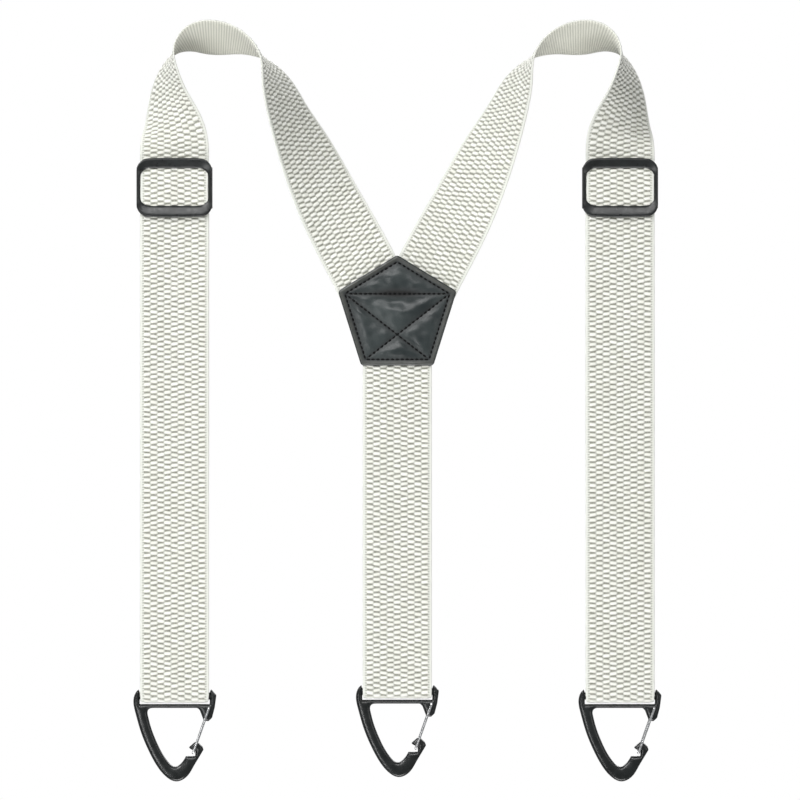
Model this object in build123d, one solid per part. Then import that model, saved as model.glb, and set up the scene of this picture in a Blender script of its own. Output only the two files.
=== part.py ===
"""Y-back elastic suspender harness that carries a lumbar support belt.

Two elastic front straps arch over the shoulders and meet a centre back strap at a
leather patch. Each front strap doubles back through a tri-glide, so it can be
lengthened, and all three straps end in a triangular wire-gate snap hook.

Frame, in millimetres: +Z up, -Y the face that is seen, +X to the right. The origin
is midway between the two shoulder arches, at the height of their crests.
"""
from build123d import *
import os
from math import cos, radians, sin

# ---------------------------------------------------------------- driving dimensions
WIDTH = 38.0                # webbing width
THICK = 1.4                 # webbing thickness
PLY_GAP = 0.2               # air between plies that slide on each other
SEWN_GAP = 0.05             # air between plies that are sewn together
BEND_R = 8.0                # how gently the webbing changes from one ply level to another
FRONT_X = 122.7             # centre of each front strap from the middle
LEG_TOP = -65.5             # where a front strap starts to twist into its arch
SPLIT_Z = -240.0            # where the upper run of a front strap meets the lower run
FRONT_BAR_Z = -362.6        # eye bar of the two front clips
BACK_BAR_Z = -360.2         # eye bar of the back clip

# arch of the left strap: x and z of its centre line, and the roll of the webbing in
# degrees, 0 where the outer face looks forward and 90 where it is edge on
ARCH = [
    (-FRONT_X, LEG_TOP, 0),
    (-123.3, -49.0, 25),
    (-125.8, -34.0, 51),
    (-126.2, -20.0, 69),
    (-122.2, -7.0, 90),
    (-113.0, -0.6, 108),
    (-100.9, 0.2, 115),
    (-87.0, -2.4, 106),
    (-75.0, -10.0, 89),
    (-67.2, -23.0, 68),
    (-60.6, -40.0, 55),
    (-50.8, -62.0, 38),
    (-38.2, -89.5, 20),
    (-26.0, -113.0, 5),
    (-17.4, -129.3, 0),
]
PATCH_LEAN = 27.0           # the strap's angle from upright where it enters the patch
PATCH_REACH = 14.0          # how far a front strap runs in under the patch
ARCH_STATIONS = 44          # cross sections along the arch

# tri-glide slide adjuster
GLIDE_W = 41.6
GLIDE_H = 31.3              # height at its sides
GLIDE_BOW = 0.8             # how far its top and bottom edges bow outwards
GLIDE_Z = -82.5             # height of its middle bar
GLIDE_CORNER = 4.5
WINDOW_W = 37.6
WINDOW_H = 20.4
WINDOW_UP = 0.35            # the window sits this far above the middle
WINDOW_CORNER = 4.0
PLATE_FRONT = -3.4
PLATE_BACK = -1.0
RAIL_IN = WIDTH / 2 + 0.2   # inner side of the side rails
RAIL_HALF_H = 11.4
RAIL_BACK = 4.3
MID_BAR_Y = 3.2             # centre of the hidden middle bar
MID_BAR_T = 1.5
MID_BAR_H = 4.0
WRAP_R = 1.6                # middle of the webbing over the middle bar
TAIL_END = GLIDE_Z - 35.5   # end of the tail sewn back under the middle bar
WRAP_END = GLIDE_Z - 48.0   # where the sewn wrap meets the plain return ply

# triangular wire-gate snap hook, in x and z from its eye bar
EYE_BAR_R = 2.0
EYE_HALF = WIDTH / 2 + 0.25  # half of the slot that the webbing passes through
EYE_TOP = 6.0
EYE_FLOOR = -4.4
CLIP_T = 4.8
CLIP_CORNER = 0.5           # rounding of the corners of its outline
WINDOW_CORNER_R = 3.0       # the window's corner under the eye
FOLD_R = 3.05               # middle of the webbing round the eye bar
RETURN_TOP = 22.0           # height over the bar where the rear ply lies flat again
GATE_R = 0.65
GATE_PIVOT = (19.0, -6.4)
GATE_END = (10.2, -31.2)
GATE_BEND = 0.75
GATE_HOLE_R = 0.72
GATE_Y = CLIP_T / 2 + 0.15 + GATE_R

# leather patch: x and z of the top corner and the two corners of the right side
PATCH = [(0.0, -119.6), (32.7, -139.5), (19.9, -180.4)]
PATCH_CORNER = 2.4
LEATHER = 1.3
PADDING_INSET = 1.5
STITCH_INSET = 3.3
STITCH_LEN = 1.9
STITCH_PITCH = 2.8
STITCH_W = 0.55
STITCH_H = 0.3
BACK_TOP = -152.0           # top end of the back strap, under the patch
BACK_SEWN_TOP = 32.0        # height over the back eye bar where the sewn fold starts
BACK_TAIL = 30.0            # height over the back eye bar where its tail ends
TACK_W = 30.0               # box of stitches that holds a sewn tail
TACK_H = 15.0
BACK_TACK_UP = 22.0         # height of the middle of the back tack over its eye bar
SLIDER_TACK_Z = GLIDE_Z - 24.5
CROSS_END = 1.6             # the crossing rows stop this far from where they meet
CORNER_END = 1.8            # and this far from the corners of the seam

SIDES = {"left": 1, "right": -1}
TAIL_Y = THICK + PLY_GAP    # middle of a rear ply that slides on the front one
SEWN_Y = THICK + SEWN_GAP   # middle of a rear ply that is sewn to the front one


def save(shape, name):
    """Write one node."""
    export_step(shape, f"parts/{name}.step")


def webbing(path):
    """Webbing swept along a path drawn in y and z."""
    wire = Wire(path.edges()) if not isinstance(path, Wire) else path
    start = Plane(origin=wire @ 0, x_dir=(1, 0, 0), z_dir=wire % 0)
    return sweep(start * Rectangle(WIDTH, THICK), path=wire)


def side_path(*points):
    """A path in y and z with gently rounded corners."""
    return Plane.YZ * FilletPolyline(*points, radius=BEND_R)


def flat_run(z_low, z_high, y=0.0):
    """A straight run of webbing between two heights."""
    return Pos(0, y, (z_low + z_high) / 2) * Box(WIDTH, THICK, z_high - z_low)


# ---------------------------------------------------------------- straps

def strap_section(x, z, roll, along):
    """Cross section of the webbing at a point of its centre line."""
    outward = Vector(-along.Z, 0, along.X).normalized()
    across = outward * cos(radians(roll)) + Vector(0, 1, 0) * sin(radians(roll))
    place = Plane(origin=(x, 0, z), x_dir=across, z_dir=Vector(along.X, 0, along.Z))
    return place * Rectangle(WIDTH, THICK)


def arch():
    """The left strap from the top of its leg, over the shoulder, to the patch."""
    lean = radians(PATCH_LEAN)
    into_patch = Vector(sin(lean), 0, -cos(lean))
    # the guide's y is the roll, in steps of four degrees, so that it changes as smoothly as x and z
    guide = Spline(*[(x, roll / 4, z) for x, z, roll in ARCH], tangents=((0, 0, 1), into_patch))
    sections = []
    for i in range(ARCH_STATIONS + 1):
        point, along = guide @ (i / ARCH_STATIONS), guide % (i / ARCH_STATIONS)
        sections.append(strap_section(point.X, point.Z, 4 * point.Y, along))
    end = Vector(ARCH[-1][0], 0, ARCH[-1][1]) + into_patch * PATCH_REACH
    sections.append(strap_section(end.X, end.Z, 0, into_patch))
    return loft(sections, ruled=True)


def shoulder_strap():
    """Left shoulder strap, trimmed at the middle line under the patch."""
    left_half = Pos(-200.1, 0, -100) * Box(400, 100, 400)
    return arch() & left_half


def front_clip_loop():
    """The fold of webbing round a front eye bar, and the ply that closes up behind it."""
    fold = Plane.YZ * CenterArc((FOLD_R, 0), FOLD_R, 180, 180)
    rise = side_path((2 * FOLD_R, 0), (2 * FOLD_R, 3), (TAIL_Y, 19), (TAIL_Y, RETURN_TOP))
    return webbing(Wire([*fold.edges(), *rise.edges()]))


def back_clip_loop():
    """The end of the back strap: down, round its eye bar and up to a sewn tail."""
    drop = Plane.YZ * Line((0, BACK_SEWN_TOP), (0, 0))
    fold = Plane.YZ * CenterArc((FOLD_R, 0), FOLD_R, 180, 180)
    rise = side_path((2 * FOLD_R, 0), (2 * FOLD_R, 2), (SEWN_Y, 12), (SEWN_Y, BACK_TAIL))
    return webbing(Wire([*drop.edges(), *fold.edges(), *rise.edges()]))


def slider_wrap():
    """The end of a front strap, wrapped over the middle bar and sewn back on itself."""
    rear = side_path(
        (TAIL_Y, WRAP_END),
        (TAIL_Y, WRAP_END + 3),
        (TAIL_Y + SEWN_Y, TAIL_END - 2),
        (TAIL_Y + SEWN_Y, GLIDE_Z - 13),
        (MID_BAR_Y + WRAP_R, GLIDE_Z - 5),
        (MID_BAR_Y + WRAP_R, GLIDE_Z + 1.2),
    )
    over = Plane.YZ * CenterArc((MID_BAR_Y, GLIDE_Z + 1.2), WRAP_R, 0, 180)
    tail = Plane.YZ * Line((TAIL_Y, GLIDE_Z + 1.2), (TAIL_Y, TAIL_END))
    return webbing(Wire([*rear.edges(), *over.edges(), *tail.edges()]))


# ---------------------------------------------------------------- tri-glide

def glide_plate():
    """Front plate of the tri-glide: bowed top and bottom bars joined at the sides."""
    w, h, bow = GLIDE_W / 2, GLIDE_H / 2, GLIDE_BOW
    outline = Polyline((-w, -h), (-w, h)) + ThreePointArc((-w, h), (0, h + bow), (w, h))
    outline += Polyline((w, h), (w, -h)) + ThreePointArc((w, -h), (0, -h - bow), (-w, -h))
    face = make_face(Plane.XZ * outline)
    face = fillet(face.vertices(), GLIDE_CORNER)
    window = Plane.XZ * Pos(0, WINDOW_UP) * RectangleRounded(WINDOW_W, WINDOW_H, WINDOW_CORNER)
    thickness = PLATE_BACK - PLATE_FRONT
    plate = Pos(0, PLATE_BACK, 0) * extrude(face - window, amount=thickness, dir=(0, -1, 0))
    edges = plate.edges().filter_by(lambda e: abs(e.center().Y - PLATE_FRONT) < 0.01)
    return fillet(edges, 0.6)


def glide_rail():
    """Side rail of the tri-glide, deep enough at its middle to hold the middle bar."""
    y0, y1, h = PLATE_FRONT + 0.8, RAIL_BACK, RAIL_HALF_H
    outline = Polyline((y0, -h), (y0, h), (PLATE_BACK, h)) + Line((PLATE_BACK, -h), (y0, -h))
    outline += Spline((PLATE_BACK, h), (y1, 0), (PLATE_BACK, -h), tangents=((1, -0.35), (-1, -0.35)))
    return extrude(make_face(Plane.YZ * outline), amount=GLIDE_W / 2 - RAIL_IN, dir=(1, 0, 0))


def adjuster_frame():
    """The whole tri-glide, a single moulding."""
    rail = Pos(RAIL_IN, 0, 0) * glide_rail()
    bar = Box(2 * RAIL_IN + 1, MID_BAR_T, MID_BAR_H)
    bar = Pos(0, MID_BAR_Y, 0) * fillet(bar.edges().filter_by(Axis.X), 0.7)
    return glide_plate() + rail + rail.mirror(Plane.YZ) + bar


# ---------------------------------------------------------------- snap hook

def clip_outline():
    """Outline of the hook in x and z: eye frame, long arm, toe, nose and gate lug."""
    top = Polyline((-19.2, 1.9), (-19.9, 3.6))
    arm = Spline((-19.9, 3.6), (-22.3, 0.2), (-21.5, -10.0), (-18.6, -20.0), (-14.4, -29.7),
                 (-9.6, -37.6), (-4.9, -43.0), (0.8, -45.9), (6.4, -43.6), (11.0, -37.8),
                 tangents=((-1, -0.7), (4.9, 8.2)))
    nose = Polyline((11.0, -37.8), (15.9, -29.6), (15.2, -27.7), (13.0, -25.6), (11.0, -25.4),
                    (7.6, -28.4), (9.2, -29.5), (11.3, -30.2), (11.3, -33.1), (6.2, -33.1))
    inner = Spline((6.2, -33.1), (3.7, -36.9), (0.6, -38.9), (-4.2, -35.5), (-9.6, -26.2),
                   (-13.7, -15.2), (-15.4, -6.6), tangents=((-0.5, -1), (-0.15, 1)))
    lug = Polyline((-15.4, -6.6), (12.6, -6.6), (13.9, -8.0), (16.0, -13.6), (18.6, -13.9),
                   (20.6, -12.0), (22.1, -6.2), (23.0, 0.6), (20.0, 4.0), (19.2, 1.9), (-19.2, 1.9))
    face = make_face(Plane.XZ * (top + arm + nose + inner + lug))
    smooth = [v for v in face.vertices() if abs(v.X - 11.0) < 0.01 and abs(v.Z + 37.8) < 0.01]
    face = fillet([v for v in face.vertices() if v not in smooth and v.X > -15], CLIP_CORNER)
    return fillet([v for v in face.vertices() if v.X < -15.3 and v.Z < -6], WINDOW_CORNER_R)


def clip_body():
    """The cast hook with its eye slot, eye bar and gate hole."""
    slab = Pos(0, -CLIP_T / 2, 0) * extrude(clip_outline(), amount=CLIP_T, dir=(0, 1, 0))
    slot = Pos(0, 0, (EYE_TOP + EYE_FLOOR) / 2) * Box(2 * EYE_HALF, 2 * CLIP_T, EYE_TOP - EYE_FLOOR)
    bar = Rot(0, 90, 0) * Cylinder(EYE_BAR_R, 2 * EYE_HALF + 1)
    x, z = GATE_PIVOT
    hole = Pos(x, 0, z) * Rot(90, 0, 0) * Cylinder(GATE_HOLE_R, 2 * CLIP_T)
    return slab - slot + bar - hole


def clip_gate():
    """The bent spring wire that closes the hook: two legs and the end that joins them."""
    (px, pz), (ex, ez) = GATE_PIVOT, GATE_END
    foot = 1.0
    route = FilletPolyline((px, -foot, pz), (px, -GATE_Y, pz), (ex, -GATE_Y, ez), (ex, GATE_Y, ez),
                           (px, GATE_Y, pz), (px, foot, pz), radius=GATE_BEND)
    start = Plane(origin=route @ 0, z_dir=route % 0)
    return sweep(start * Circle(GATE_R), path=Wire(route.edges()))


# ---------------------------------------------------------------- patch

def patch_corners(inset=0.0):
    """The five corners of the patch in x and z, moved in from the edge by an inset."""
    right = PATCH
    corners = [right[0], right[1], right[2], (-right[2][0], right[2][1]), (-right[1][0], right[1][1])]
    if not inset:
        return corners
    ring = Polyline(*corners, close=True)
    inner = offset(make_face(ring), amount=-inset)
    points = [(v.X, v.Y) for v in inner.vertices()]
    return [min(points, key=lambda p: (p[0] - x) ** 2 + (p[1] - z) ** 2) for x, z in corners]


def patch_face(inset=0.0):
    """The pentagon with rounded corners."""
    face = make_face(Plane.XZ * Polyline(*patch_corners(inset), close=True))
    return fillet(face.vertices(), PATCH_CORNER)


def panel(y_front, inset=0.0, thickness=LEATHER):
    """A pentagonal layer of the patch whose front lies at y_front."""
    return Pos(0, y_front, 0) * extrude(patch_face(inset), amount=thickness, dir=(0, 1, 0))


def stitch_row(start, end):
    """Stitches in a row between two points in x and z, as plain bars."""
    run = Vector(end[0] - start[0], 0, end[1] - start[1])
    count = max(2, round((run.length - STITCH_LEN) / STITCH_PITCH))
    step = run / (count + 0.4)
    bars = []
    for i in range(count):
        centre = Vector(start[0], 0, start[1]) + step * (i + 0.7)
        place = Plane(origin=centre, x_dir=run.normalized(), z_dir=(0, 1, 0))
        bars.append(place * Box(STITCH_LEN, STITCH_W, STITCH_H))
    return bars


def patch_stitching(y_front):
    """Round the edge of the patch, across it, and two diagonals to the lower corners."""
    top, right, low_right, low_left, left = patch_corners(STITCH_INSET)
    rows = [(top, right), (right, low_right), (low_right, low_left), (low_left, left), (left, top)]
    bars = []
    for start, end in rows:
        bars += stitch_row(start, end)
    bars += stitch_row((left[0] + 2, left[1] - 0.6), (right[0] - 2, right[1] - 0.6))
    crossing = Vector(0, left[1] + (low_left[1] - left[1]) * right[0] / (right[0] + low_right[0]))
    for side in (-1, 1):
        for corner in (Vector(side * right[0], right[1] - 2), Vector(side * low_right[0], low_right[1])):
            along = (corner - crossing).normalized()
            inner = crossing + along * CROSS_END
            outer = corner - along * CORNER_END
            bars += stitch_row((inner.X, inner.Y), (outer.X, outer.Y))
    return Pos(0, y_front - STITCH_H / 2, 0) * Compound(bars)


def tack(z_middle, y_back):
    """A boxed cross of stitches on the rear of a sewn tail."""
    w, h = TACK_W / 2, TACK_H / 2
    bars = []
    for start, end in [((-w, h), (w, h)), ((-w, -h), (w, -h)), ((-w, -h), (-w, h)), ((w, -h), (w, h))]:
        bars += stitch_row(start, end)
    for side in (-1, 1):
        for up in (-1, 1):
            bars += stitch_row((side * (w - 2), up * (h - 1.4)), (side * CROSS_END, up * CROSS_END / 2))
    return Pos(0, y_back + STITCH_H / 2, z_middle) * Compound(bars)


# ---------------------------------------------------------------- assembly

def front_side(side):
    """Everything on one front strap below its arch, at its real place."""
    x = -FRONT_X * SIDES[side]
    eye = Pos(x, FOLD_R, FRONT_BAR_Z)
    lane = Pos(x, 0, 0)
    strap = shoulder_strap()
    save(strap if side == "left" else strap.mirror(Plane.YZ), f"{side}_shoulder_strap")
    save(lane * flat_run(SPLIT_Z, LEG_TOP), f"{side}_upper_ply")
    save(lane * flat_run(FRONT_BAR_Z, SPLIT_Z), f"{side}_front_ply")
    save(lane * flat_run(FRONT_BAR_Z + RETURN_TOP, WRAP_END, TAIL_Y), f"{side}_return_ply")
    save(lane * slider_wrap(), f"{side}_slider_wrap")
    wrap_back = TAIL_Y + SEWN_Y + THICK / 2
    save(lane * tack(SLIDER_TACK_Z, wrap_back), f"{side}_slider_stitching")
    save(Pos(x, 0, GLIDE_Z) * adjuster_frame(), f"{side}_adjuster_frame")
    save(Pos(x, 0, FRONT_BAR_Z) * front_clip_loop(), f"{side}_clip_loop")
    save(eye * clip_body(), f"{side}_clip_body")
    save(eye * clip_gate(), f"{side}_clip_gate")


def back_side():
    """The back strap with its sewn end and its clip."""
    save(flat_run(BACK_BAR_Z + BACK_SEWN_TOP, BACK_TOP), "back_strap")
    save(Pos(0, 0, BACK_BAR_Z) * back_clip_loop(), "back_clip_loop")
    save(tack(BACK_BAR_Z + BACK_TACK_UP, SEWN_Y + THICK / 2), "back_loop_stitching")
    eye = Pos(0, FOLD_R, BACK_BAR_Z)
    save(eye * clip_body(), "back_clip_body")
    save(eye * clip_gate(), "back_clip_gate")


def patch():
    """The leather patch over the three strap ends."""
    front, back = -THICK / 2 - LEATHER, THICK / 2
    save(panel(front), "patch_front_panel")
    save(panel(back), "patch_back_panel")
    strap = shoulder_strap()
    padding = panel(-THICK / 2, PADDING_INSET, THICK) - strap - strap.mirror(Plane.YZ)
    save(padding - flat_run(BACK_BAR_Z, BACK_TOP), "patch_padding")
    save(patch_stitching(front), "patch_stitching")


os.makedirs("parts", exist_ok=True)
patch()
back_side()
for name in SIDES:
    front_side(name)
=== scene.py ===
"""Looks of the Y-back elastic suspender harness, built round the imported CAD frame.

Units are metres in Blender; the design values below are in millimetres and are turned
into metres by MM. Front is -Y, up is +Z.
"""
import math
import random

import bmesh
import bpy
import numpy as np
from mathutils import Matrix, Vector
from mathutils.geometry import delaunay_2d_cdt


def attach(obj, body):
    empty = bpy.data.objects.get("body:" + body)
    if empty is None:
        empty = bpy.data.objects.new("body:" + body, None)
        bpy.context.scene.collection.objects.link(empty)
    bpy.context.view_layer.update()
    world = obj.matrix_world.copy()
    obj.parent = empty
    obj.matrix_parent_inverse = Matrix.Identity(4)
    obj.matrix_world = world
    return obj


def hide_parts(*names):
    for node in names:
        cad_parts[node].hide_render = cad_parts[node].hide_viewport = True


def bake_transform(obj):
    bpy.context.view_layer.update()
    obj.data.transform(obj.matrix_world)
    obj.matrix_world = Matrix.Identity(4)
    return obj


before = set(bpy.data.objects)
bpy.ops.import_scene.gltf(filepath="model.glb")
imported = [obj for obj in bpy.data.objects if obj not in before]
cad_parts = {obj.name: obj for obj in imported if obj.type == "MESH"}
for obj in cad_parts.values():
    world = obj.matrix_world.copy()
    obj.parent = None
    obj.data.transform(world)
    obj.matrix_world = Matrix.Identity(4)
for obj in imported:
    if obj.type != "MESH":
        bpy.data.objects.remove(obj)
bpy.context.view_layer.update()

MM = 0.001
SIDES = {"left": -1, "right": 1}

# ------------------------------------------------------------ design values, mm
WIDTH = 38.0
THICK = 1.4
FRONT_X = 122.7             # middle of a front strap
LEG_TOP = -65.5             # where the straight leg turns into the shoulder arch
FRONT_BAR_Z = -362.6        # eye bars of the front hooks
BACK_BAR_Z = -360.2
BACK_TOP_Z = -150.0         # upper end of the back strap, inside the patch
GLIDE_Z = -82.5             # middle of an adjuster
MID_BAR_Y = 3.2             # middle bar of an adjuster
WRAP_R = 1.6                # centre line of the webbing round the middle bar
FOLD_R = 3.05               # centre line of the webbing round an eye bar
TAIL_Y = 1.6                # ply behind the leg
SEWN_Y = 1.45               # step from one sewn ply to the next
LOWER_PLY = 160.0           # length of the ply that slides out under the leg
TAIL_END_Z = -236.0         # lower end of the adjuster's tail
RETURN_Y = 1.05             # ply that carries on from the tail down to the hook
RETURN_THICK = 0.85
LOOP_END_Y = 0.78           # inner end of the webbing folded round a hook
LEATHER = 1.3
BACK_TACK_UP, FRONT_TACK_DOWN = 22.0, 24.5

# centre line x, z and roll in degrees of the left arch, as the frame has them
ARCH = [
    (-FRONT_X, LEG_TOP, 0), (-123.3, -49.0, 25), (-125.8, -34.0, 51), (-126.2, -20.0, 69),
    (-122.2, -7.0, 90), (-113.0, -0.6, 108), (-100.9, 0.2, 115), (-87.0, -2.4, 106),
    (-75.0, -10.0, 89), (-67.2, -23.0, 68), (-60.6, -40.0, 55), (-50.8, -62.0, 38),
    (-38.2, -89.5, 20), (-26.0, -113.0, 5), (-17.4, -129.3, 0),
]
PATCH_LEAN = 27.0           # the straps' lean where they enter the patch, in degrees
PATCH_REACH = 14.0          # how far they reach into it
PATCH_CORNER = 2.4
PATCH_MIDDLE_Z = -154.0
PATCH = [(0.0, -119.6), (32.7, -139.5), (19.9, -180.4), (-19.9, -180.4), (-32.7, -139.5)]
PATCH_SIDES = list(zip(PATCH, PATCH[1:] + PATCH[:1]))
OUTLINE_STEP = 0.34

# basket weave
COLUMNS = 9
PITCH = 3.78                # width of one column of floats
PERIOD = 2.77               # length of one float and its gap
RELIEF = 0.72               # height of a float over its gap
STEP = PERIOD / 8           # length of a mesh row
ACROSS = 7                  # mesh cells across one column
NEST = 0.66                 # how far a ply that slides under another lies behind its face


# ------------------------------------------------------------ small helpers

def smoothstep(a, b, x):
    t = np.clip((x - a) / (b - a), 0, 1)
    return t * t * (3 - 2 * t)


def brick_random(column, row, seed):
    """A steady pseudo-random number from 0 to 1 for each float of the weave."""
    n = np.sin(column * 127.1 + row * 311.7 + seed * 74.7) * 43758.5453
    return n - np.floor(n)


def new_object(name, mesh, material):
    obj = bpy.data.objects.new(name, mesh)
    bpy.context.scene.collection.objects.link(obj)
    mesh.materials.append(material)
    return obj


def mesh_from(name, points, faces):
    mesh = bpy.data.meshes.new(name)
    mesh.from_pydata([tuple(p) for p in points], [], faces)
    mesh.validate()
    mesh.polygons.foreach_set("use_smooth", [True] * len(mesh.polygons))
    return mesh


def ring_faces(rings, count):
    """Faces between closed rings of count points, with a cap on the first and the last ring."""
    grid = np.arange(rings * count).reshape(rings, count)
    a, b = grid[:-1], grid[1:]
    quads = np.stack([a, np.roll(a, -1, 1), np.roll(b, -1, 1), b], -1).reshape(-1, 4)
    return quads.tolist() + [grid[0][::-1].tolist(), grid[-1].tolist()]


def fix_winding(obj):
    """Turns the faces outwards."""
    bm = bmesh.new()
    bm.from_mesh(obj.data)
    bmesh.ops.recalc_face_normals(bm, faces=bm.faces)
    bm.to_mesh(obj.data)
    bm.free()


def path_lengths(path):
    """Length of the path up to each of its points."""
    return np.concatenate([[0], np.cumsum(np.linalg.norm(np.diff(path, axis=0), axis=1))])


def corner(a, b, c, radius, share=0.5, steps=9):
    """Points that round off corner b of a path, taking at most that share of the runs beside it."""
    run_in, run_out = np.linalg.norm(b - a), np.linalg.norm(c - b)
    d1, d2 = (b - a) / run_in, (c - b) / run_out
    turn = math.acos(np.clip(d1 @ d2, -1, 1))
    cut = min(radius * math.tan(turn / 2), run_in * share, run_out * share)
    p, q = b - d1 * cut, b + d2 * cut
    return [(1 - t) ** 2 * p + 2 * t * (1 - t) * b + t * t * q for t in np.linspace(0, 1, steps)]


# ------------------------------------------------------------ webbing

def weave(u, v, seed):
    """Relief from 0 to 1, painted shade of the gaps, creases and selvage grooves, and tone of the floats, at
    u across and v along, in mm.

    Floats stand in columns, and each column is half a float out of step with its neighbours, so
    every float is a six-sided mound with a deep gap above and below and a crease on each side.
    """
    column = np.clip(np.floor(u / PITCH + COLUMNS / 2), 0, COLUMNS - 1)
    beside = column + np.where(u > (column + 0.5 - COLUMNS / 2) * PITCH, 1, -1)

    def nearest(col):
        du = u - (col + 0.5 - COLUMNS / 2) * PITCH
        sway = 0.16 * np.sin(v * 0.23 + col * 2.1 + seed) + 0.10 * np.sin(v * 0.61 + col * 4.7)
        t = (v + sway) / PERIOD - 0.5 * np.mod(col, 2)
        row = np.round(t)
        lean = (brick_random(col, row, seed + 9) - 0.5) * 0.3
        return du, (t - row) * PERIOD + lean * du, row

    (du, dv, row), (du1, dv1, row1) = nearest(column), nearest(beside)
    near, far = du ** 2 + dv ** 2, du1 ** 2 + dv1 ** 2
    outside = (beside < 0) | (beside > COLUMNS - 1)
    swap = (far < near) & ~outside
    crease = np.where(outside, 1.0, np.abs(far - near) / (2 * math.hypot(PITCH, PERIOD / 2)))
    col = np.where(swap, beside, column)
    row = np.where(swap, row1, row)
    dv = np.where(swap, dv1, dv)
    deep = PERIOD / 2 - np.abs(dv)
    size = 0.82 + 0.3 * brick_random(col, row, seed)
    relief = smoothstep(-0.05, 1.15, deep) * (0.45 + 0.55 * smoothstep(0.0, 0.75, crease)) * size
    # the gap value is painted shade, darkest in the deep gaps above and below each float and in the creases
    # between columns
    gap = 1 - smoothstep(0.26, 0.92, deep) + 0.5 * (1 - smoothstep(0.05, 0.6, crease))
    field = COLUMNS * PITCH / 2
    inside = np.abs(u) < field
    # the groove beside each selvage is lowered and darkened with painted shade, in a row of dots
    shaded_seam = 0.9 * (1 - smoothstep(0.1, 0.55, np.abs(np.abs(u) - field - 0.15)))
    shaded_seam = shaded_seam * (0.55 + 0.45 * np.cos(2 * math.pi * v / (PERIOD / 2) + np.sign(u)))
    relief = np.where(inside, relief, 0.6 - 0.5 * shaded_seam)
    gap = np.where(inside, np.clip(gap, 0, 1), 0) + shaded_seam * np.where(inside, 0.3, 1.0)
    return relief, np.clip(gap, 0, 1), np.where(inside, brick_random(col, row, seed + 3), 0.5)


def ring_profile(width):
    """Points round the webbing's section: u in mm, side, 1 outer face, -1 inner face, 0 edge."""
    half = width / 2
    inner = COLUMNS * PITCH / 2 * width / WIDTH
    cells = np.linspace(-inner, inner, COLUMNS * ACROSS + 1)
    rim = [inner + 0.3, (inner + half) / 2 + 0.1, half - 0.45, half - 0.15]
    front = [*(-r for r in reversed(rim)), *cells, *rim]
    back = list(np.linspace(half - 0.25, -half + 0.25, 15))
    ring = [(u, 1) for u in front] + [(half, 0)] + [(u, -1) for u in back] + [(-half, 0)]
    return np.array([p[0] for p in ring]), np.array([p[1] for p in ring])


def webbing(name, centres, across, normals, v, width=WIDTH, thick=THICK, relief=1.0, seed=1.0, flat=None,
            pinch=None, taper=None):
    """Closed strip of woven elastic along a row of frames. Lengths in mm.

    For each row, thick may be a length, flat fades the relief, pinch draws both edges in
    and taper thins the outer face.
    """
    u, side = ring_profile(width)
    rows, count = len(v), len(u)
    uu, vv = np.tile(u, (rows, 1)), np.tile(v[:, None], (1, count))
    drawn = 1 - (np.zeros(rows) if pinch is None else pinch)[:, None] * 2 / width
    h, gap, tone = weave(uu * WIDTH / width, vv, seed)
    fade = np.ones(rows) if flat is None else flat
    ribs = 0.5 + 0.5 * np.cos(2 * math.pi * vv / (PERIOD / 2))
    edge_drop = smoothstep(width / 2 - 1.6, width / 2, np.abs(uu)) * 0.22
    lift = np.where(side == 1, (h - 0.62) * RELIEF * relief * fade[:, None] - edge_drop, 0)
    lift = np.where(side == -1, (ribs - 0.7) * 0.14 * relief - edge_drop, lift)
    thinner = (np.zeros(rows) if taper is None else taper)[:, None]
    half = (np.zeros(rows) + thick)[:, None] / 2
    offset = side * half + np.where(side == 1, lift - thinner, -lift * (side == -1))
    points = centres[:, None, :] + across[:, None, :] * (uu * drawn)[..., None]
    points = points + normals[:, None, :] * offset[..., None]
    mesh = mesh_from(name, (points * MM).reshape(-1, 3), ring_faces(rows, count))
    layer = mesh.attributes.new("weave", "FLOAT_COLOR", "POINT")
    # red channel of the weave attribute: painted shade in the outer face's gaps and creases, and in the
    # valleys between the inner face's ribs
    gap = np.where(side == 1, gap * fade[:, None], np.where(side == -1, 0.6 * (1 - ribs), 0))
    rim = smoothstep(0, 0.5, np.abs(uu) - COLUMNS * PITCH / 2 * width / WIDTH)
    colour = np.stack([gap, tone, np.where(side == -1, 1.0, 0.0) + 0 * uu, rim], -1)
    layer.data.foreach_set("color", colour.astype(np.float32).ravel())
    uv = mesh.uv_layers.new(name="Weave")
    index = np.zeros(len(mesh.loops), np.int32)
    mesh.loops.foreach_get("vertex_index", index)
    flat_uv = np.stack([uu.ravel()[index], vv.ravel()[index]], -1)
    uv.data.foreach_set("uv", flat_uv.astype(np.float32).ravel())
    obj = new_object(name, mesh, MATERIALS["webbing"])
    fix_winding(obj)
    return obj


def straight(x, z_from, z_to):
    """Frames of a straight upright run in the plane of the front legs."""
    rows = int(round(abs(z_to - z_from) / STEP)) + 1
    z = np.linspace(z_from, z_to, rows)
    centres = np.stack([np.full(rows, x), np.zeros(rows), z], -1)
    across = np.tile([1.0, 0.0, 0.0], (rows, 1))
    normals = np.tile([0.0, -1.0, 0.0], (rows, 1))
    return centres, across, normals, z - FRONT_BAR_Z


def rounded_path(points, radius):
    """A dense path through y, z points, with its corners rounded."""
    pts = [np.array(p, float) for p in points]
    out = [pts[0]]
    for a, b, c in zip(pts, pts[1:], pts[2:]):
        out += corner(a, b, c, radius)
    out.append(pts[-1])
    return np.array(out)


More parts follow.
